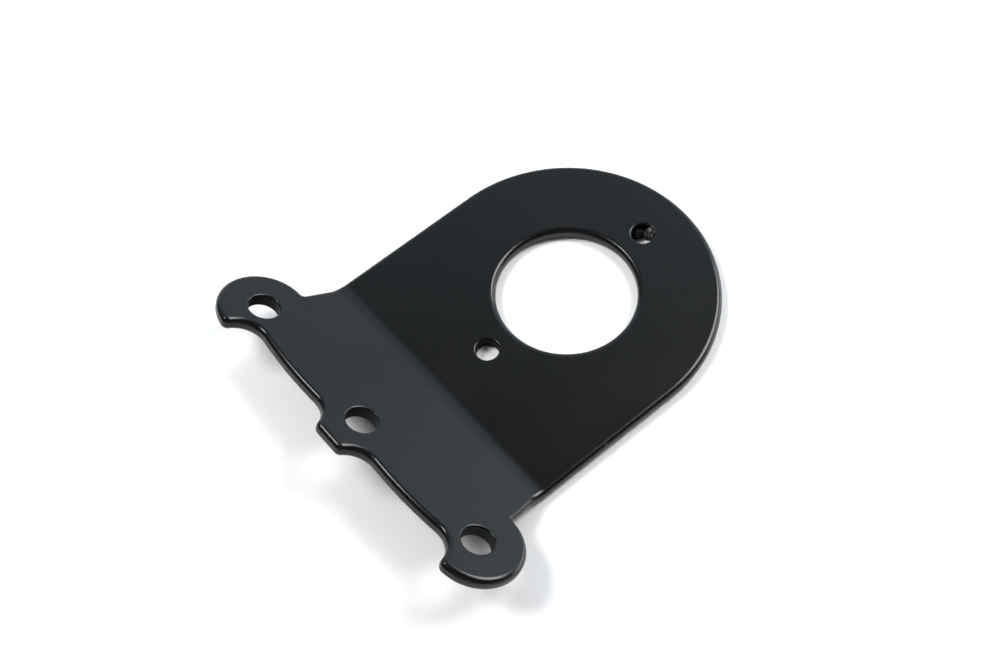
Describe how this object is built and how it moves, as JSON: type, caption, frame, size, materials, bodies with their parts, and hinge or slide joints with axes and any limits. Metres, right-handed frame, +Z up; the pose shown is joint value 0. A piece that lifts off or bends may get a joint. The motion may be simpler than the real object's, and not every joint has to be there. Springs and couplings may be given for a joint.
{
  "type": "speedometer bracket",
  "caption": "Folded sheet bracket: a flat plate with a round end and an opening carries a small dial instrument, and a raised flange with round ears bolts to a frame.",
  "frame": {"origin": "centre of the instrument's opening, on the underside of the plate", "axes": "+Z up out of the plate, +Y towards the plate's round end, +X along the fold"},
  "size_m": [0.0812, 0.087, 0.0135],
  "materials": {
    "coat": "satin black coat on steel sheet"
  },
  "bodies": {
    "root": {"bracket": "coat"}
  },
  "joints": []
}
